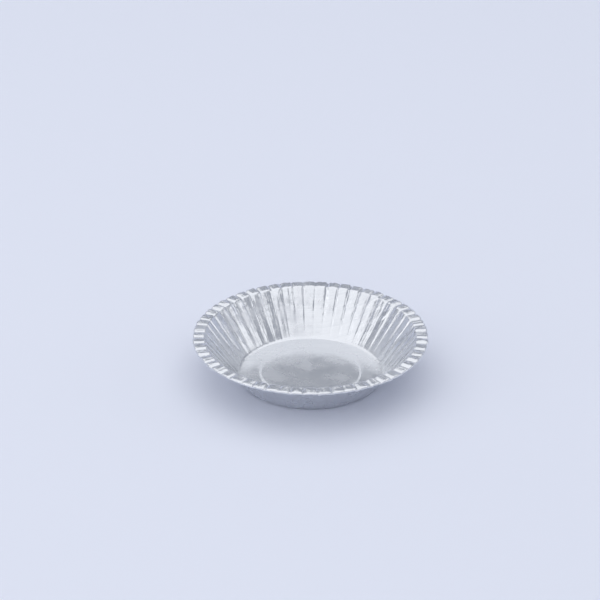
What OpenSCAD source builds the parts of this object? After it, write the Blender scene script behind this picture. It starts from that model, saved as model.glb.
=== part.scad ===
/* [Foil] */
// Thickness of the aluminium sheet
foil_t = 0.08; // [0.06:0.01:0.12]

/* [Rim] */
// Diameter over the curled edge, across the crests of its crimps
rim_d = 120; // [110:1:140]
// Width of the flat flange between the lip bend and the curled edge
flange_w = 4.2; // [3:0.1:6]
// Diameter of the curled edge, over the foil
curl_d = 1.5; // [1.2:0.1:2]
// Angle through which the edge is curled under
curl_sweep = 285; // [200:5:300]
// Radius of the bend from the wall out to the flange
lip_r = 1.2; // [0.8:0.1:2]

/* [Body] */
// Height from the foot to the crests of the flange
height = 22.6; // [16:0.1:32]
// Diameter of the flat foot that the tin stands on
foot_d = 72; // [64:1:80]
// Radius of the bend from the foot up to the wall
corner_r = 2.5; // [1:0.1:4]

/* [Base] */
// Diameter of the raised centre panel
panel_d = 50; // [30:1:54]
// Height of the centre panel above the foot
panel_h = 0.8; // [0.4:0.1:1.4]
// Radius of the two bends of the step round the panel
step_r = 0.8; // [0.8:0.1:1.5]

/* [Crimps] */
// Number of crimps round the rim
crimps = 56; // [40:4:64]
// Depth of the crimps in the flange, from crest to crease
crimp_depth = 0.6; // [0.2:0.05:0.9]
// Depth of the scallops round the curled edge, seen from above
scallop_depth = 0.4; // [0:0.05:0.6]
// Depth of the pleats at the bottom of the wall
pleat_foot = 0.08; // [0:0.02:0.2]
// Share of each crimp that its crease takes up
crease_share = 0.36; // [0.2:0.02:0.6]

/* [Hidden] */

// Steps in each bend of the section
corner_steps = 3;
lip_steps = 2;
curl_steps = 6;
step_steps = 2;

// Overlap of the pressed base into the foot of the wall
seam_lap = 1.5;

// Middle of the foil at the foot, in the flange and in the curl
foot_r = foot_d / 2;
foot_z = foil_t / 2;
flange_z = height - crimp_depth / 2 - foil_t / 2;
curl_r = (curl_d - foil_t) / 2;
curl_x = rim_d / 2 - scallop_depth / 2 - foil_t / 2 - curl_r;
lip_x = curl_x - flange_w;

// Slope of the wall, tangent to the corner bend and to the lip bend
run = lip_x - foot_r;
rise = flange_z - lip_r - foot_z - corner_r;
wall_slope = atan2(rise, run) + asin((corner_r + lip_r) / norm([run, rise]));

// Bend of the step round the centre panel
panel_r = panel_d / 2;
step_turn = acos(1 - panel_h / (2 * step_r));
step_w = 2 * step_r * sin(step_turn);

// Unit vector square to the section, towards the inside of the tin
function square_to(slope) = [-sin(slope), cos(slope)];

// A station is [place, slope, crimp movement], with the place at mid foil
function foot_stations() = [
    for (x = [foot_r - seam_lap, foot_r]) [[x, foot_z], 0, [0, 0]]
];

function corner_stations() = [
    for (i = [1:corner_steps])
        let (a = wall_slope * i / corner_steps)
        [[foot_r, foot_z + corner_r] - corner_r * square_to(a), a,
            square_to(a) * pleat_foot / 2 * i / corner_steps]
];

function lip_stations() = [
    for (i = [0:lip_steps])
        let (a = wall_slope * (1 - i / lip_steps))
        [[lip_x, flange_z - lip_r] + lip_r * square_to(a), a,
            square_to(a) * crimp_depth / 2]
];

function curl_stations() = [
    for (i = [0:curl_steps])
        let (a = curl_sweep * i / curl_steps)
        [[curl_x, flange_z - curl_r] + curl_r * square_to(-a), -a,
            [scallop_depth * sin(min(a, 90)), crimp_depth] / 2]
];

stations = concat(foot_stations(), corner_stations(), lip_stations(), curl_stations());

// Columns of one crimp as [share of the pitch, movement], a flat crest and a crease
columns = [[0, 1], [1 - crease_share, 1], [1 - crease_share / 2, -1]];
column_count = crimps * len(columns);

// Angle and movement of column number j, with a crest centred on the X axis
function column_angle(j) =
    let (c = columns[j % len(columns)])
    (floor(j / len(columns)) + c[0] - (1 - crease_share) / 2) * 360 / crimps;
function column_move(j) = columns[j % len(columns)][1];

// Points of a station round the tin, on one face of the foil (side 1 or -1)
function ring(station, side) = [
    for (j = [0:column_count - 1])
        let (p = station[0] + side * foil_t / 2 * square_to(station[1])
                + column_move(j) * station[2],
            a = column_angle(j))
        [p[0] * cos(a), p[0] * sin(a), p[1]]
];

// Rings in order round the section: up the inside face, back down the outside
rings = concat(
    [for (s = stations) ring(s, 1)],
    [for (i = [len(stations) - 1:-1:0]) ring(stations[i], -1)]
);

// Number of a point from its ring and column, both counted round and round
function point_at(i, j) =
    (i % len(rings)) * column_count + j % column_count;

// Two triangles between rings i and i + 1, cut along the same diagonal on both
// faces of the foil, so that the sheet keeps its thickness where it twists
function patch(i, j) =
    let (a = point_at(i, j), b = point_at(i, j + 1),
        c = point_at(i + 1, j + 1), d = point_at(i + 1, j))
    i < len(stations) ? [[a, c, d], [a, b, c]] : [[a, b, d], [b, c, d]];

// Pleated wall, crimped flange and curled edge, as one sheet of foil
module wall_and_rim() {
    points = [for (r = rings) for (p = r) p];
    faces = [
        for (i = [0:len(rings) - 1])
            for (j = [0:column_count - 1])
                each patch(i, j)
    ];
    polyhedron(points, faces, convexity = 6);
}

// Mid line of the base: centre panel, step with its two bends, and foot
function base_line() = concat(
    [[[0, foot_z + panel_h], 0]],
    [for (i = [0:step_steps])
        let (a = step_turn * i / step_steps)
        [[panel_r, foot_z + panel_h - step_r] + step_r * square_to(-a), -a]],
    [for (i = [step_steps - 1:-1:0])
        let (a = step_turn * i / step_steps)
        [[panel_r + step_w, foot_z + step_r] - step_r * square_to(-a), -a]],
    [[[foot_r - seam_lap / 2, foot_z], 0]]
);

// Pressed base of the tin, up to its flat foot
module base() {
    line = base_line();
    faces_of_foil = concat(
        [for (s = line) s[0] + foil_t / 2 * square_to(s[1])],
        [for (i = [len(line) - 1:-1:0]) line[i][0] - foil_t / 2 * square_to(line[i][1])]
    );
    rotate_extrude($fn = crimps)
        polygon(faces_of_foil);
}

module pie_tin() {
    color("silver") {
        base();
        wall_and_rim();
    }
}

pie_tin();
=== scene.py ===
import bpy
import numpy as np
from bpy.props import FloatProperty, FloatVectorProperty, IntProperty, PointerProperty
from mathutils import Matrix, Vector


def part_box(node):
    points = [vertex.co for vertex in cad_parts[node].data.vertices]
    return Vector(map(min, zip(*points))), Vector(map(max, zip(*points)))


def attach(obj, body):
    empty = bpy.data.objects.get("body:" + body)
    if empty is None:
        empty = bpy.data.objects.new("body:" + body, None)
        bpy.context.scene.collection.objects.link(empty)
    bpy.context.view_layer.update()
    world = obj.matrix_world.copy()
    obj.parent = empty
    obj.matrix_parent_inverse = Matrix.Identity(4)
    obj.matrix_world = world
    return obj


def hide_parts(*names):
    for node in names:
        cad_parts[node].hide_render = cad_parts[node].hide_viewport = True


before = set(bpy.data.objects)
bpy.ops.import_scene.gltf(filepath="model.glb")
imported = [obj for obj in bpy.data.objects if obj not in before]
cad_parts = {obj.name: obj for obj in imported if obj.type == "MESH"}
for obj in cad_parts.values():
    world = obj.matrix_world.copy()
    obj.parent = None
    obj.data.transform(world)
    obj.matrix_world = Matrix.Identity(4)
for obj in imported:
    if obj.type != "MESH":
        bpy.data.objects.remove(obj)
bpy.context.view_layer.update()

bl_info = {
    "name": "Foil pie tin",
    "version": (1, 0, 0),
    "blender": (4, 5, 0),
    "location": "3D View > Sidebar > Pie Tin",
    "description": "Presses, crimps and curls a round foil pie tin and sets it on a studio floor",
    "category": "Add Mesh",
}

# The solid tin from the frame, whose box the pressed foil has to fill
TIN_NODE = "pie_tin"
TIN_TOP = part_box(TIN_NODE)[1].z

MM = 0.001
# Names of the map of the flat blank, in millimetres, and of how far the foil is gathered
BLANK_MAP = "flat_blank"
GATHERED = "gathered"
# The picture is square, and this many pixels wide
PICTURE = 600
# Width of the camera's sensor, which gives the lens its meaning
SENSOR_MM = 36.0
# Watts a square metre at which a lamp glows like white paper in plain light
WHITE_LAMP = np.pi
# Clear space left under the foot, so that tin and paper don't share a plane
UNDER_FOOT = 0.02 * MM
# Steps of the mesh along each stretch of the section, from the middle outwards
STEPS = {
    "panel": 7, "step": 3, "foot": 5, "corner": 6, "wall": 18, "lip": 5, "flange": 6, "curl": 15
}
# Places of the mesh's columns across half a crease, and how many follow to the crest's middle
CREASE_COLUMNS = (0, 0.22, 0.55, 1)
CREST_COLUMNS = 3
# Share of a crease's profile that is a sharp V, where the rest is rounded
PINCH = 0.55
# Swell of a crest's middle, in half depths of a crimp
CREST_DOME = 0.3
# Least and most of the chance in a crease's depth and width, in shares of the crease spread
CREASE_DEPTHS = (-1, 0.5)
CREASE_WIDTHS = (-0.6, 0.6)
# Half width of a small fold, and least and most of its distance from the crest's middle, all
# in pitches of the crimps
FOLD_HALF = 0.12
FOLD_PLACES = (-0.16, 0.16)
# Least and most of a fold's depth, in shares of the deepest: below 0 the crest has no fold
FOLD_DEPTHS = (-1.5, 1)
# Number of crossed waves that make up the wide hollows, and the wrinkles up the wall
HOLLOW_WAVES = 26
GATHER_WAVES = 28
# Where most of a noise's values lie, which are then stretched over a setting's whole range
NOISE_LOW, NOISE_HIGH = 0.3, 0.7
# Columns and steps of the paper's sweep, and its slope at the far edge
SWEEP_COLUMNS = 96
SWEEP_STEPS = 10
SWEEP_SLOPE = np.radians(85)


def linear_colour(code):
    """Linear red, green and blue, 0 to 1, of an sRGB colour written as a hex code."""
    shares = [int(code[i:i + 2], 16) / 255 for i in (1, 3, 5)]
    return tuple(c / 12.92 if c <= 0.04045 else ((c + 0.055) / 1.055) ** 2.4 for c in shares)


def length(name, description, default):
    """A size, in metres."""
    return FloatProperty(
        name=name, description=description, default=default, min=0.0, precision=5, unit="LENGTH"
    )


def share(name, description, default):
    """A share of something else, from 0 to 1."""
    return FloatProperty(
        name=name, description=description, default=default, min=0.0, max=1.0, subtype="FACTOR"
    )


def angle(name, description, degrees):
    """An angle, given in degrees."""
    return FloatProperty(
        name=name, description=description, default=np.radians(degrees), subtype="ANGLE"
    )


def colour(name, description, code):
    """A colour that the sidebar can change, given as an sRGB hex code."""
    return FloatVectorProperty(
        name=name, description=description, default=linear_colour(code),
        min=0.0, max=1.0, size=3, subtype="COLOR",
    )


def glow(name, description, default):
    """Brightness of a lamp or of the air, where 1 is that of white paper in plain light."""
    return FloatProperty(name=name, description=description, default=default, min=0.0)


def spot(name, description, default):
    """A place in the studio, in metres from the middle of the tin's foot."""
    return FloatVectorProperty(
        name=name, description=description, default=default, size=3, subtype="XYZ_LENGTH"
    )


def span(name, description, default):
    """The two sides of a lamp's face, in metres."""
    return FloatVectorProperty(
        name=name, description=description, default=default, min=0.0, size=2, unit="LENGTH"
    )


# Sizes and colours


class PieTinSizes(bpy.types.PropertyGroup):
    """Sizes of the pressed foil tin."""

    height: length("Height", "From the foot to the crests of the flange", TIN_TOP)
    rim_d: length("Rim", "Diameter over the curled edge, across its crests", 120 * MM)
    foot_d: length("Foot", "Diameter of the flat foot", 72 * MM)
    foil_t: length("Foil", "Thickness of the aluminium sheet", 0.08 * MM)
    flange_w: length("Flange", "Width of the flat flange", 4.2 * MM)
    curl_d: length("Curl", "Diameter of the curled edge, over the foil", 1.5 * MM)
    curl_sweep: angle("Curl angle", "Angle through which the edge is curled under", 285)
    lip_r: length("Lip bend", "Radius of the bend from the wall to the flange", 1.2 * MM)
    corner_r: length("Corner bend", "Radius of the bend from the foot to the wall", 2.5 * MM)
    panel_d: length("Panel", "Diameter of the raised centre panel", 50 * MM)
    panel_h: length("Panel height", "Height of the centre panel above the foot", 0.8 * MM)
    step_r: length("Step bend", "Radius of the bends of the step round the panel", 0.8 * MM)
    crimps: IntProperty(
        name="Crimps", description="Number of crimps round the rim", default=56, min=12
    )
    crimp_depth: length("Crimp depth", "Depth of the crimps, crest to crease", 0.6 * MM)
    scallop_depth: length("Scallop", "Depth of the scallops round the curled edge", 0.4 * MM)
    pleat_foot: length("Pleat foot", "Depth of the pleats at the bottom of the wall", 0.08 * MM)
    crease_share: share("Crease", "Share of each crimp that its crease takes up", 0.36)


class PieTinCrinkle(bpy.types.PropertyGroup):
    """How the gathered foil departs from a perfect tin: no two crimps of a real one are alike."""

    seed: IntProperty(
        name="Seed", description="Start of the chance in crimps, wrinkles and hollows", default=18
    )
    crease_spread: share("Crease spread", "How unlike each other the creases are", 0.45)
    wander: share("Wander", "How far a crease strays, as a share of the crimps' pitch", 0.11)
    crest_rise: length("Crest rise", "How far a crest stands above or below the others", 0.09 * MM)
    crest_tilt: length("Crest tilt", "How far one side of a crest stands above the other", 0.2 * MM)
    fold_depth: length("Fold", "Depth of the deepest small fold that a crest has", 0.12 * MM)
    gather_depth: length("Gathers", "Usual depth of the wrinkles up the wall", 0.055 * MM)
    gather_short: length("Closest gathers", "Least distance between wrinkles", 2 * MM)
    gather_long: length("Widest gathers", "Greatest distance between wrinkles", 4.7 * MM)
    gather_slant: angle("Gather slant", "How far a wrinkle leans from straight up the wall", 6)
    sag_depth: length("Sag", "Usual depth of the wide hollows in wall and flange", 0.085 * MM)
    base_depth: length("Base hollows", "Usual depth of the wide hollows in the panel", 0.02 * MM)
    hollow_short: length("Smallest hollow", "Least width of a wide hollow", 10 * MM)
    hollow_long: length("Widest hollow", "Greatest width of a wide hollow", 28 * MM)


class PieTinFinish(bpy.types.PropertyGroup):
    """Colour and surface of the foil."""

    foil: colour("Bright foil", "Colour of the rolled aluminium", "#E9EAEC")
    foil_dull: colour("Dull foil", "Colour of the foil in its rolling lines", "#E0E2E5")
    roughness: share("Roughness", "Roughness of the bright side of the foil", 0.25)
    smear: share("Smear", "How far the rolling lines smear what the foil mirrors", 0.35)
    # Rolling lines are 0.05 to 0.1 mm apart; they are drawn further apart so that they show
    line_gap: length("Line gap", "Distance between rolling lines, as drawn", 0.5 * MM)
    line_run: length("Line run", "Length of a rolling line", 80 * MM)
    line_depth: length("Line depth", "Depth of the rolling lines, as drawn", 0.003 * MM)
    wrinkle_gap: length("Wrinkle gap", "Distance between fine wrinkles round the wall", 1.25 * MM)
    wrinkle_run: length("Wrinkle run", "Length of a fine wrinkle up the wall", 6 * MM)
    wrinkle_depth: length("Wrinkle depth", "Depth of the fine wrinkles at the rim", 0.3 * MM)
    dent_w: length("Dent", "Width of the dents from dies and handling", 4.2 * MM)
    dent_depth: length("Dent depth", "Depth of the dents at the rim", 0.22 * MM)
    dent_on_base: share("Dents on the base", "Depth of the base's dents, as a share", 0.12)
    patch_w: length("Patch", "Width of the duller patches that oil and handling leave", 14 * MM)
    patch_dull: share("Patch dullness", "How far a patch's roughness is off the usual one", 0.07)


class PieTinStage(bpy.types.PropertyGroup):
    """Floor, lamps and camera."""

    paper: colour("Paper", "Colour of the matt paper floor", "#EAEDF7")
    paper_r: length("Flat paper", "Radius of the flat part of the paper", 1.6)
    sweep_r: length("Sweep", "Radius of the paper's upward sweep", 0.9)
    ceiling: glow("Ceiling softbox", "Glow of the wide softbox overhead", 0.68)
    ceiling_place: spot("Ceiling place", "Middle of the ceiling softbox", (-0.2, 0.0, 1.6))
    ceiling_size: span("Ceiling size", "Depth and width of the ceiling softbox", (4.2, 3.4))
    left: glow("Left softbox", "Glow of the softbox on the left", 0.95)
    left_place: spot("Left place", "Middle of the left softbox", (-1.5, -0.45, 0.6))
    left_size: span("Left size", "Face of the left softbox", (1.0, 0.8))
    right: glow("Right softbox", "Glow of the softbox on the right", 0.8)
    right_place: spot("Right place", "Middle of the right softbox", (1.5, 0.1, 0.6))
    right_size: span("Right size", "Face of the right softbox", (0.8, 0.7))
    front: glow("Front softbox", "Glow of the low softbox that fills the shadow in front", 0.45)
    front_place: spot("Front place", "Middle of the front softbox", (0.1, -1.5, 0.35))
    front_size: span("Front size", "Face of the front softbox", (1.8, 0.5))
    air: colour("Air", "Tint that the pale blue paper gives the air", "#E6ECFA")
    horizon: glow("Horizon", "Glow of the air at the horizon", 0.42)
    zenith: glow("Zenith", "Glow of the air overhead", 0.49)
    nadir: glow("Nadir", "Glow of the air below, seen only from under the floor", 0.85)
    lens: FloatProperty(
        name="Lens", description="Focal length of the camera", default=116.5, unit="CAMERA"
    )
    distance: length("Distance", "From the camera's plane to the middle of the foot", 1.0)
    elevation: angle("Elevation", "Angle of the camera above the floor", 27.41)
    foot_px: FloatVectorProperty(
        name="Foot in the picture", size=2, default=(310.4, 372.8), precision=1,
        description="Where the middle of the foot stands, in pixels from the top left",
    )


# Section of the tin


def square_to(slope):
    """Unit vectors square to the sheet, towards the inside of the tin, for an array of slopes."""
    return np.stack([-np.sin(slope), np.cos(slope)], axis=-1)


def bend(centre, radius, start, end, stretch, hollow_up=False):
    """Places and slopes along a bend from one slope to another, with its centre below the sheet.

    The centre of a hollow-up bend lies above the sheet.
    """
    slopes = np.linspace(start, end, STEPS[stretch] + 1)
    away = -1 if hollow_up else 1
    return np.asarray(centre) + away * radius * square_to(slopes), slopes


def straight(start, end, slope, stretch):
    """Places and slopes between the two ends of a straight stretch, both ends left out."""
    places = np.linspace(start, end, STEPS[stretch] + 1)[1:-1]
    return places, np.full(len(places), slope)


def section(sizes):
    """The mid line of the foil from the axis to the end of the curl.

    Returns the places as [radius, height], the slopes, how far a crimp moves each place, and
    how far out each place was in the flat blank.
    """
    foot_r, foot_z, panel_r = sizes.foot_d / 2, sizes.foil_t / 2, sizes.panel_d / 2
    flange_z = sizes.height - sizes.crimp_depth / 2 - sizes.foil_t / 2
    curl_r = (sizes.curl_d - sizes.foil_t) / 2
    curl_x = sizes.rim_d / 2 - sizes.scallop_depth / 2 - sizes.foil_t / 2 - curl_r
    lip_x = curl_x - sizes.flange_w

    run, rise = lip_x - foot_r, flange_z - sizes.lip_r - foot_z - sizes.corner_r
    wall = np.arctan2(rise, run) + np.arcsin((sizes.corner_r + sizes.lip_r) / np.hypot(run, rise))
    turn = np.arccos(1 - sizes.panel_h / (2 * sizes.step_r))
    step_w = 2 * sizes.step_r * np.sin(turn)
    if run <= 0 or rise <= 0:
        raise ValueError("The wall has no room between the foot and the flange")
    if panel_r + step_w >= foot_r:
        raise ValueError("The raised panel and its step don't fit inside the foot")

    step_down = bend(
        (panel_r, foot_z + sizes.panel_h - sizes.step_r), sizes.step_r, 0, -turn, "step"
    )
    step_flat = bend(
        (panel_r + step_w, foot_z + sizes.step_r), sizes.step_r, -turn, 0, "step", hollow_up=True
    )
    # The step's two bends meet with nothing between them, so their shared end is left out once
    step_flat = [values[1:] for values in step_flat]
    corner = bend(
        (foot_r, foot_z + sizes.corner_r), sizes.corner_r, 0, wall, "corner", hollow_up=True
    )
    lip = bend((lip_x, flange_z - sizes.lip_r), sizes.lip_r, wall, 0, "lip")
    curl = bend((curl_x, flange_z - curl_r), curl_r, 0, -sizes.curl_sweep, "curl")
    stretches = [
        straight((0, foot_z + sizes.panel_h), step_down[0][0], 0, "panel"),
        step_down,
        step_flat,
        straight(step_flat[0][-1], corner[0][0], 0, "foot"),
        corner,
        straight(corner[0][-1], lip[0][0], wall, "wall"),
        lip,
        straight(lip[0][-1], curl[0][0], 0, "flange"),
        curl,
    ]
    places = np.concatenate([stretch[0] for stretch in stretches])
    turns = np.concatenate([stretch[1] for stretch in stretches])
    gaps = np.hypot(*np.diff(places, axis=0).T)
    reach = places[0, 0] + np.concatenate([[0], np.cumsum(gaps)])

    # The pleats grow through the corner and up the wall, square to the foil
    ends = [corner[0][0], corner[0][-1], lip[0][0]]
    at = [reach[np.argmin(np.hypot(*(places - end).T))] for end in ends]
    depth = np.interp(reach, at, [0, sizes.pleat_foot / 2, sizes.crimp_depth / 2])
    moves = depth[:, None] * square_to(turns)
    # The whole curl moves up and down with the flange, and out and in at its scallops
    curled = slice(-len(curl[1]), None)
    out = sizes.scallop_depth / 2 * np.sin(np.minimum(-turns[curled], np.pi / 2))
    moves[curled] = np.stack([out, np.full(len(out), sizes.crimp_depth / 2)], axis=-1)
    return places, turns, moves, reach


# Pressing the tin


def crease_profile(u):
    """Share of a crease's depth at u half widths from its middle: a pinched V with soft edges."""
    v = np.clip(1 - u, 0, 1)
    return PINCH * v + (1 - PINCH) * v * v * (3 - 2 * v)


def crimp_waves(sizes, crinkle, chance, across, gathered):
    """How far each column moves, 1 at a crest and -1 in a crease, ring by ring.

    Each crease gets its own depth and width, and each crest its own height, tilt and small fold.
    """
    shape = (sizes.crimps, 1)
    spread, unit = crinkle.crease_spread, sizes.crimp_depth / 2
    depth = 1 + spread * chance.uniform(*CREASE_DEPTHS, shape)
    width = sizes.crease_share / 2 * (1 + spread * chance.uniform(*CREASE_WIDTHS, shape))
    into_crease = crease_profile(np.abs(across) / width)
    steady = 1 - 2 * depth * into_crease + CREST_DOME * np.sin(np.pi * across) ** 2

    def on_crest(low, high):
        """A chance value for each crest, given to the columns on both sides of its middle."""
        values = chance.uniform(low, high, shape)
        return np.where(across < 0, values, np.roll(values, -1, axis=0))

    over_crest = np.where(across < 0, across + 0.5, across - 0.5)
    stands = on_crest(-1, 1) * crinkle.crest_rise / unit
    leans = on_crest(-1, 1) * crinkle.crest_tilt / unit * over_crest
    off_fold = np.abs(over_crest - on_crest(*FOLD_PLACES)) / FOLD_HALF
    deep = np.clip(on_crest(*FOLD_DEPTHS), 0, None) * crinkle.fold_depth / unit
    folds = deep * np.clip(1 - off_fold, 0, None)
    # What sets a crest apart from the others ends at its creases, and dies out down the wall
    own = (stands + leans - folds) * (1 - into_crease)
    return steady.ravel()[None, :] + gathered[:, None] ** 2 * own.ravel()[None, :]


def crimp_angles(sizes, crinkle, chance, across, gathered):
    """The angle of each column, ring by ring: creases wander a little on their way up the wall."""
    pitch = 2 * np.pi / sizes.crimps
    # The X axis runs through the middle of a crest, so the creases lie half a pitch off it
    crease = np.arange(sizes.crimps)[:, None] + 0.5
    # A crease takes the columns near it along, while the middle of a crest stays in its place
    taken = np.cos(np.pi * across) ** 2
    low, high = crinkle.wander * chance.uniform(-1, 1, (2, sizes.crimps, 1)) * taken
    steady = ((crease + across) * pitch).ravel()
    return (
        steady[None, :]
        + pitch * (1 - gathered[:, None]) * low.ravel()[None, :]
        + pitch * gathered[:, None] * high.ravel()[None, :]
    )


def hollows(crinkle, chance, blank):
    """Wide shallow hollows over the flat blank, from crossed waves, with a usual height of 1."""
    total, power = np.zeros(blank.shape[:-1]), 0
    for _ in range(HOLLOW_WAVES):
        width = chance.uniform(crinkle.hollow_short, crinkle.hollow_long)
        heading, phase = chance.uniform(0, 2 * np.pi, 2)
        along = blank[..., 0] * np.cos(heading) + blank[..., 1] * np.sin(heading)
        total += width * np.sin(2 * np.pi * along / width + phase)
        power += width ** 2 / 2
    return total / np.sqrt(power)


def wall_radius(sizes):
    """Radius of the tin half way up its wall."""
    return (sizes.foot_d + sizes.rim_d) / 4


def gathers(sizes, crinkle, chance, angles, reach):
    """Wrinkles that run up the wall, from waves that close round the tin, of usual height 1."""
    wall_r = wall_radius(sizes)
    fewest, most = (
        round(2 * np.pi * wall_r / gap) for gap in (crinkle.gather_long, crinkle.gather_short)
    )
    total = np.zeros(angles.shape)
    for _ in range(GATHER_WAVES):
        round_tin = chance.integers(fewest, most)
        slant = chance.uniform(-crinkle.gather_slant, crinkle.gather_slant)
        up_wall = round_tin / wall_r * np.tan(slant)
        phase = chance.uniform(0, 2 * np.pi)
        total += np.sin(round_tin * angles + up_wall * reach[:, None] + phase)
    return total / np.sqrt(GATHER_WAVES / 2)


def base_share(sizes, places):
    """1 on the raised panel, falling to 0 on the flat foot, which keeps its contact plane."""
    panel_r = sizes.panel_d / 2
    return np.interp(places[:, 0], [panel_r, panel_r + 2 * sizes.step_r], [1.0, 0.0])


def there_and_back(rings):
    """Values of the upper face's rings, and the same again for the lower face, in reverse."""
    return np.concatenate([rings, rings[::-1]])


def pressed_sheet(sizes, crinkle):
    """Points of the two faces of the foil, ring by ring, with their place in the flat blank."""
    chance = np.random.default_rng(crinkle.seed)
    places, slopes, moves, reach = section(sizes)
    gathered = np.hypot(*moves.T) / np.hypot(*moves.T).max()
    # The columns of one crimp, in pitches from the middle of its crease
    half = sizes.crease_share / 2
    right = np.concatenate([
        half * np.array(CREASE_COLUMNS), np.linspace(half, 0.5, CREST_COLUMNS + 1)[1:]
    ])
    across = np.concatenate([-right[1:-1][::-1], right])[None, :]

    angles = crimp_angles(sizes, crinkle, chance, across, gathered)
    waves = crimp_waves(sizes, crinkle, chance, across, gathered)
    round_about = np.stack([np.cos(angles), np.sin(angles)], axis=-1)
    blank = reach[:, None, None] * round_about

    # Sags and gathers both die out down the wall, the wide sags sooner
    sags = gathered[:, None] ** 2 * hollows(crinkle, chance, blank)
    wrinkles = gathered[:, None] * gathers(sizes, crinkle, chance, angles, reach)
    panel = base_share(sizes, places)[:, None] * hollows(crinkle, chance, blank)
    uneven = (
        crinkle.sag_depth * sags + crinkle.gather_depth * wrinkles + crinkle.base_depth * panel
    )
    square = square_to(slopes)[:, None, :]
    mid = places[:, None, :] + waves[..., None] * moves[:, None, :] + uneven[..., None] * square
    half_foil = sizes.foil_t / 2 * square
    # Up the upper face and back down the lower one, with nothing below the plane of the foot
    both = np.concatenate([mid + half_foil, (mid - half_foil)[::-1]])
    both[..., 1] = np.maximum(both[..., 1], 0)
    points = np.concatenate([both[..., :1] * there_and_back(round_about), both[..., 1:]], axis=-1)
    return {
        "points": points,
        "blank": there_and_back(blank),
        "gathered": there_and_back(gathered),
    }


def bands(rings):
    """Four-sided faces between rings of point numbers, each of which closes on itself."""
    after = np.roll(rings, -1, axis=1)
    corners = np.stack([rings[:-1], rings[1:], after[1:], after[:-1]], axis=-1)
    return corners.reshape(-1, 4).tolist()


def fan(middle, ring):
    """Triangles from a middle point out to a ring of point numbers."""
    return [(middle, *edge) for edge in zip(ring.tolist(), np.roll(ring, -1).tolist())]


def tin_mesh(sizes, crinkle):
    """The pressed foil as one closed mesh, with a flat-blank map and a gathering value."""
    sheet = pressed_sheet(sizes, crinkle)
    count, columns = sheet["points"].shape[:2]
    rings = np.arange(count * columns).reshape(count, columns)
    # Each face of the foil closes on a point at the tin's middle, the lower one turned over
    upper, lower = rings.size, rings.size + 1
    caps = fan(upper, rings[0]) + [(m, b, a) for m, a, b in fan(lower, rings[-1])]
    middles = [(0, 0, float(sheet["points"][ring, :, 2].mean())) for ring in (0, -1)]

    mesh = bpy.data.meshes.new("pressed_foil")
    vertices = np.concatenate([sheet["points"].reshape(-1, 3), middles])
    mesh.from_pydata(vertices.tolist(), [], bands(rings) + caps)
    mesh.shade_smooth()
    blank = np.concatenate([sheet["blank"].reshape(-1, 2), np.zeros((2, 2))]) / MM
    corners = np.zeros(len(mesh.loops), np.int32)
    mesh.loops.foreach_get("vertex_index", corners)
    layer = mesh.uv_layers.new(name=BLANK_MAP)
    layer.data.foreach_set("uv", blank[corners].astype(np.float32).ravel())
    value = mesh.attributes.new(GATHERED, "FLOAT", "POINT")
    gathered = np.concatenate([np.repeat(sheet["gathered"], columns), np.zeros(2)])
    value.data.foreach_set("value", gathered.astype(np.float32))
    return mesh


# Materials


def add(tree, kind, values=(), links=(), **settings):
    """Adds a node, sets its settings and its input values, and links its inputs."""
    node = tree.nodes.new(kind)
    for name, value in settings.items():
        setattr(node, name, value)
    for name, value in dict(values).items():
        node.inputs[name].default_value = value
    for name, output in dict(links).items():
        tree.links.new(output, node.inputs[name])
    return node


def new_material(name):
    """An empty material and its node tree."""
    material = bpy.data.materials.new(name)
    material.use_nodes = True
    material.node_tree.nodes.clear()
    return material, material.node_tree


def repeats(size):
    """How often a pattern of this real size comes in each millimetre of the flat blank."""
    return MM / size


def rolling_lines(tree, finish, blank):
    """Streaks that the mill's rolls leave one way across the sheet, 0 to 1."""
    scale = (repeats(finish.line_run), repeats(finish.line_gap), 1.0)
    stretched = add(tree, "ShaderNodeMapping", {"Scale": scale}, {"Vector": blank})
    return add(
        tree, "ShaderNodeTexNoise", {"Scale": 1.0, "Detail": 4.0, "Roughness": 0.6},
        {"Vector": stretched.outputs["Vector"]}, noise_dimensions="2D",
    ).outputs["Fac"]


def wall_wrinkles(tree, finish, blank, wall_r):
    """Fine wrinkles that run up the wall, 0 to 1, on a noise wound round the tin."""
    bearing = add(tree, "ShaderNodeVectorMath", {}, {0: blank}, operation="NORMALIZE")
    reach = add(tree, "ShaderNodeVectorMath", {}, {0: blank}, operation="LENGTH")
    round_wall = add(
        tree, "ShaderNodeVectorMath", {"Scale": wall_r / finish.wrinkle_gap},
        {0: bearing.outputs["Vector"]}, operation="SCALE",
    )
    up_wall = add(
        tree, "ShaderNodeMath", {1: repeats(finish.wrinkle_run)}, {0: reach.outputs["Value"]},
        operation="MULTIPLY",
    )
    height = add(tree, "ShaderNodeCombineXYZ", {}, {"Z": up_wall.outputs["Value"]})
    wound = add(
        tree, "ShaderNodeVectorMath", {},
        {0: round_wall.outputs["Vector"], 1: height.outputs["Vector"]}, operation="ADD",
    )
    return add(
        tree, "ShaderNodeTexNoise", {"Scale": 1.0, "Detail": 2.0, "Roughness": 0.5},
        {"Vector": wound.outputs["Vector"]},
    ).outputs["Fac"]


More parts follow.
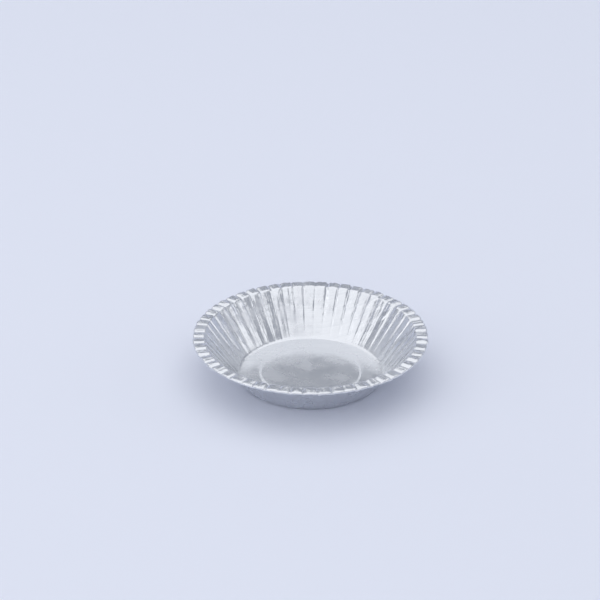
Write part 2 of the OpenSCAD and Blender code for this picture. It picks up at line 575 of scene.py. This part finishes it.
def foil_normal(tree, finish, blank, lines, wrinkles):
    """The foil's normal under its lines, its wrinkles and its dents, flatter on the base."""
    gathered = add(tree, "ShaderNodeAttribute", attribute_name=GATHERED).outputs["Fac"]
    rolled = add(tree, "ShaderNodeBump", {"Distance": finish.line_depth}, {"Height": lines})
    wrinkled = add(
        tree, "ShaderNodeBump", {"Distance": finish.wrinkle_depth},
        {"Height": wrinkles, "Strength": gathered, "Normal": rolled.outputs["Normal"]},
    )
    dents = add(
        tree, "ShaderNodeTexVoronoi", {"Scale": repeats(finish.dent_w), "Smoothness": 0.6},
        {"Vector": blank}, voronoi_dimensions="2D", feature="SMOOTH_F1",
    )
    depth = add(
        tree, "ShaderNodeMath", {0: finish.dent_on_base}, {1: gathered}, operation="ADD"
    )
    dented = add(
        tree, "ShaderNodeBump", {"Distance": finish.dent_depth},
        {
            "Height": dents.outputs["Distance"],
            "Strength": depth.outputs["Value"],
            "Normal": wrinkled.outputs["Normal"],
        },
    )
    return dented.outputs["Normal"]


def foil_material(finish, wall_r):
    """Household aluminium foil, cold rolled bright and then pressed between dies.

    Rolling leaves fine lines one way across the sheet, which smear what the bright face mirrors.
    Pressing gathers the wall into small wrinkles and dents, which the eye reads as thin metal.
    """
    material, tree = new_material("rolled_aluminium_foil")
    blank = add(tree, "ShaderNodeUVMap", uv_map=BLANK_MAP).outputs["UV"]
    lines = rolling_lines(tree, finish, blank)
    wrinkles = wall_wrinkles(tree, finish, blank, wall_r)
    normal = foil_normal(tree, finish, blank, lines, wrinkles)

    # Oil and handling leave the bright face a little uneven, in wide soft patches
    patches = add(
        tree, "ShaderNodeTexNoise", {"Scale": repeats(finish.patch_w), "Detail": 3.0},
        {"Vector": blank}, noise_dimensions="2D",
    )
    dull = add(
        tree, "ShaderNodeMapRange",
        {
            "From Min": NOISE_LOW, "From Max": NOISE_HIGH,
            "To Min": finish.roughness - finish.patch_dull,
            "To Max": finish.roughness + finish.patch_dull,
        },
        {"Value": patches.outputs["Fac"]},
    )
    tint = add(tree, "ShaderNodeValToRGB", {}, {"Fac": lines})
    ends = tint.color_ramp.elements
    ends[0].position, ends[0].color = NOISE_LOW, (*finish.foil_dull, 1.0)
    ends[1].position, ends[1].color = NOISE_HIGH, (*finish.foil, 1.0)

    along = add(tree, "ShaderNodeTangent", direction_type="UV_MAP", uv_map=BLANK_MAP)
    shader = add(
        tree, "ShaderNodeBsdfPrincipled", {"Metallic": 1.0, "Anisotropic": finish.smear},
        {
            "Base Color": tint.outputs["Color"],
            "Roughness": dull.outputs["Result"],
            "Normal": normal,
            "Tangent": along.outputs["Tangent"],
        },
    )
    add(tree, "ShaderNodeOutputMaterial", {}, {"Surface": shader.outputs["BSDF"]})
    return material


def paper_material(stage):
    """Matt background paper, uncoated, with no shine for the tin to sit in."""
    material, tree = new_material("matt_background_paper")
    shader = add(
        tree, "ShaderNodeBsdfPrincipled",
        {"Base Color": (*stage.paper, 1.0), "Roughness": 0.9, "Specular IOR Level": 0.2},
    )
    # From below the paper is clear, also to what the underside of the tin then mirrors
    clear = add(tree, "ShaderNodeBsdfTransparent")
    side = add(tree, "ShaderNodeNewGeometry")
    path = add(tree, "ShaderNodeLightPath")
    below = add(
        tree, "ShaderNodeMath", {},
        {0: side.outputs["Backfacing"], 1: path.outputs["Transparent Depth"]},
        operation="MAXIMUM", use_clamp=True,
    )
    surface = add(
        tree, "ShaderNodeMixShader", {},
        {0: below.outputs["Value"], 1: shader.outputs["BSDF"], 2: clear.outputs["BSDF"]},
    )
    add(tree, "ShaderNodeOutputMaterial", links={"Surface": surface.outputs["Shader"]})
    return material


# Floor, lamps and camera


def sweep_floor(stage):
    """A round sheet of paper, flat under the tin and swept up all round it."""
    slopes = np.linspace(0, SWEEP_SLOPE, SWEEP_STEPS + 1)
    radii = stage.paper_r + stage.sweep_r * np.sin(slopes)
    heights = stage.sweep_r * (1 - np.cos(slopes)) - UNDER_FOOT
    bearings = np.linspace(0, 2 * np.pi, SWEEP_COLUMNS, endpoint=False)
    vertices = [(0.0, 0.0, -UNDER_FOOT)]
    vertices += [
        (r * np.cos(a), r * np.sin(a), z) for r, z in zip(radii, heights) for a in bearings
    ]
    rings = np.arange(1, len(vertices)).reshape(-1, SWEEP_COLUMNS)

    mesh = bpy.data.meshes.new("paper_sweep")
    mesh.from_pydata(vertices, [], fan(0, rings[0]) + bands(rings))
    mesh.shade_smooth()
    mesh.materials.append(paper_material(stage))
    floor = bpy.data.objects.new("paper_floor", mesh)
    bpy.context.scene.collection.objects.link(floor)
    return floor


def softbox(stage, side):
    """A rectangular lamp on one side of the tin, aimed at it."""
    place, size = getattr(stage, side + "_place"), getattr(stage, side + "_size")
    lamp = bpy.data.lights.new(side + "_softbox", "AREA")
    lamp.shape = "RECTANGLE"
    lamp.size, lamp.size_y = size
    lamp.energy = getattr(stage, side) * WHITE_LAMP * size[0] * size[1]
    holder = bpy.data.objects.new(side + "_softbox", lamp)
    holder.location = place
    holder.rotation_euler = (-Vector(place)).to_track_quat("-Z", "Y").to_euler()
    bpy.context.scene.collection.objects.link(holder)


def set_world(stage):
    """Pale air all round, darkest at the horizon."""
    world = bpy.data.worlds.new("studio_air")
    world.use_nodes = True
    tree = world.node_tree
    place = add(tree, "ShaderNodeTexCoord")
    parts = add(tree, "ShaderNodeSeparateXYZ", {}, {"Vector": place.outputs["Generated"]})
    height = add(
        tree, "ShaderNodeMapRange", {"From Min": -1.0, "From Max": 1.0},
        {"Value": parts.outputs["Z"]},
    )
    level = add(tree, "ShaderNodeValToRGB", {}, {"Fac": height.outputs["Result"]})
    # The ramp runs from straight down to straight up, with the horizon half way
    stops = level.color_ramp.elements
    stops.new(0.5)
    for stop, brightness in zip(stops, (stage.nadir, stage.horizon, stage.zenith)):
        stop.color = (*(brightness * tint for tint in stage.air), 1.0)
    tree.links.new(level.outputs["Color"], tree.nodes["Background"].inputs["Color"])
    bpy.context.scene.world = world


def set_camera(context, stage):
    """Stands the camera where the middle of the foot lands on its pixel of the picture."""
    lens = bpy.data.cameras.new("camera")
    lens.lens = stage.lens
    lens.sensor_width = SENSOR_MM
    camera = bpy.data.objects.new("camera", lens)
    # Width that a pixel covers at the middle of the foot
    pixel = stage.distance * SENSOR_MM / stage.lens / PICTURE
    right = Vector((1, 0, 0))
    up = Vector((0, np.sin(stage.elevation), np.cos(stage.elevation)))
    back = Vector((0, -np.cos(stage.elevation), np.sin(stage.elevation)))
    across = (stage.foot_px[0] - PICTURE / 2) * pixel
    down = (stage.foot_px[1] - PICTURE / 2) * pixel
    camera.location = stage.distance * back - across * right + down * up
    camera.rotation_euler = (np.pi / 2 - stage.elevation, 0, 0)
    context.scene.collection.objects.link(camera)
    context.scene.camera = camera


# Operators


class PIETIN_OT_tin(bpy.types.Operator):
    """Presses the foil tin: base, pleated wall, crimped flange and curled edge"""

    bl_idname = "pietin.tin"
    bl_label = "Press the tin"

    def execute(self, context):
        scene = context.scene
        sizes = scene.pie_tin_sizes
        piece = bpy.data.objects.new("foil_pie_tin", tin_mesh(sizes, scene.pie_tin_crinkle))
        scene.collection.objects.link(piece)
        foil = foil_material(scene.pie_tin_finish, wall_radius(sizes))
        piece.data.materials.append(foil)
        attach(piece, "root")
        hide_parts(TIN_NODE)
        return {"FINISHED"}


class PIETIN_OT_stage(bpy.types.Operator):
    """Lays the paper floor, hangs the lamps and sets the camera"""

    bl_idname = "pietin.stage"
    bl_label = "Set the stage"

    def execute(self, context):
        stage = context.scene.pie_tin_stage
        floor = sweep_floor(stage)
        for side in ("ceiling", "left", "right", "front"):
            softbox(stage, side)
        set_world(stage)
        set_camera(context, stage)
        return {"FINISHED"}


# Sidebar and registration


class PIETIN_PT_sidebar(bpy.types.Panel):
    """Lists the sizes and the steps in the 3D view's sidebar"""

    bl_label = "Foil pie tin"
    bl_idname = "PIETIN_PT_sidebar"
    bl_space_type = "VIEW_3D"
    bl_region_type = "UI"
    bl_category = "Pie Tin"

    def draw(self, context):
        for group in GROUPS:
            box = self.layout.box()
            settings = getattr(context.scene, group)
            for name in settings.__annotations__:
                box.prop(settings, name)
        self.layout.operator(PIETIN_OT_tin.bl_idname)
        self.layout.operator(PIETIN_OT_stage.bl_idname)


# Where each group of settings is kept on the scene
GROUPS = {
    "pie_tin_sizes": PieTinSizes,
    "pie_tin_crinkle": PieTinCrinkle,
    "pie_tin_finish": PieTinFinish,
    "pie_tin_stage": PieTinStage,
}
CLASSES = (*GROUPS.values(), PIETIN_OT_tin, PIETIN_OT_stage, PIETIN_PT_sidebar)


def register():
    """Adds the add-on's classes, and its groups of settings to every scene."""
    for cls in CLASSES:
        bpy.utils.register_class(cls)
    for name, group in GROUPS.items():
        setattr(bpy.types.Scene, name, PointerProperty(type=group))


def unregister():
    """Takes off what register added, in reverse order."""
    for name in reversed(GROUPS):
        delattr(bpy.types.Scene, name)
    for cls in reversed(CLASSES):
        bpy.utils.unregister_class(cls)


def main():
    """Presses the tin and sets the stage."""
    register()
    bpy.ops.pietin.tin()
    bpy.ops.pietin.stage()
    bpy.context.scene.view_settings.view_transform = "Standard"


if __name__ == "__main__":
    main()
